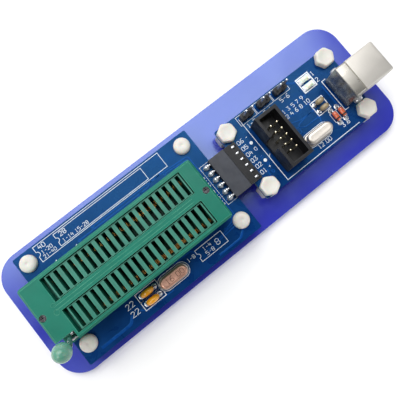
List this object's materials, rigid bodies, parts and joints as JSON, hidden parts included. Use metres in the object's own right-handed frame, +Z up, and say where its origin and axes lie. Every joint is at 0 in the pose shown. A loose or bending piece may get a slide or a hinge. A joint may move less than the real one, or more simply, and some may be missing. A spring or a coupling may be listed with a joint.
{
  "type": "usb microcontroller programmer",
  "caption": "Two circuit boards on a long round-cornered plate: a lever-operated zero-insertion-force chip socket plugged into a small USB programmer.",
  "frame": {"origin": "centre of the base plate's resting face", "axes": "+X along the plate from the chip socket's lever end to the USB end, +Y across the plate away from the lever's side, +Z up"},
  "size_m": [0.148, 0.047, 0.0406],
  "materials": {
    "blue_acrylic": "polished",
    "white_nylon": "moulded",
    "blue_board": "solder mask",
    "green_plastic": "moulded",
    "pale_green_plastic": "moulded",
    "copper_contact": "plated",
    "bright_steel": "plated",
    "pale_green_knob": "moulded",
    "dark_steel": "blackened",
    "yellow_ceramic": "dipped",
    "tinned_wire": "tinned",
    "crystal_can": "satin",
    "black_plastic": "moulded",
    "gold_pin": "plated",
    "clear_lens": "clear",
    "tan_ceramic": "dipped",
    "orange_glass": "glass body",
    "shell_metal": "satin"
  },
  "bodies": {
    "base": {"base_plate": "blue_acrylic", "spacers": "white_nylon", "plate_screws": "white_nylon", "round_screws": "white_nylon", "hex_screws": "white_nylon", "target_board": "blue_board", "programmer_board": "blue_board", "zif_base": "green_plastic", "zif_cover": "green_plastic", "zif_contacts": "copper_contact", "zif_screws": "dark_steel", "disc_capacitors": "yellow_ceramic", "disc_leads": "tinned_wire", "target_crystal": "crystal_can", "target_crystal_foot": "crystal_can", "socket_strip": "black_plastic", "socket_strip_pins": "tinned_wire", "pin_strip": "black_plastic", "pin_strip_pins": "tinned_wire", "box_shroud": "black_plastic", "box_pins": "gold_pin", "jumper_blocks": "black_plastic", "jumper_pins": "tinned_wire", "programmer_crystal": "crystal_can", "programmer_crystal_foot": "crystal_can", "status_lamps": "clear_lens", "small_capacitors": "tan_ceramic", "small_leads": "tinned_wire", "diode_glass": "orange_glass", "diode_leads": "tinned_wire", "usb_shell": "shell_metal", "usb_insert": "black_plastic", "usb_contacts": "gold_pin", "controller_chip": "black_plastic", "chip_legs": "tinned_wire", "chip_resistors": "black_plastic"},
    "comb": {"zif_slider": "pale_green_plastic"},
    "lever": {"cam_shaft": "bright_steel", "lever_arm": "bright_steel", "lever_knob": "pale_green_knob"}
  },
  "joints": [
    {"name": "lever_hinge", "type": "hinge", "parent": "base", "child": "lever", "pos_m": [-0.0606, -0.0065, 0.017], "axis": [0, -1, 0], "range_deg": [0, 90]},
    {"name": "comb_slide", "type": "slide", "parent": "base", "child": "comb", "axis": [-1, 0, 0], "range_m": [0, 0.00099]}
  ],
  "couplings": [
    {"joint": "comb_slide", "follows": "lever_hinge", "m_per_rad": 0.00063}
  ]
}
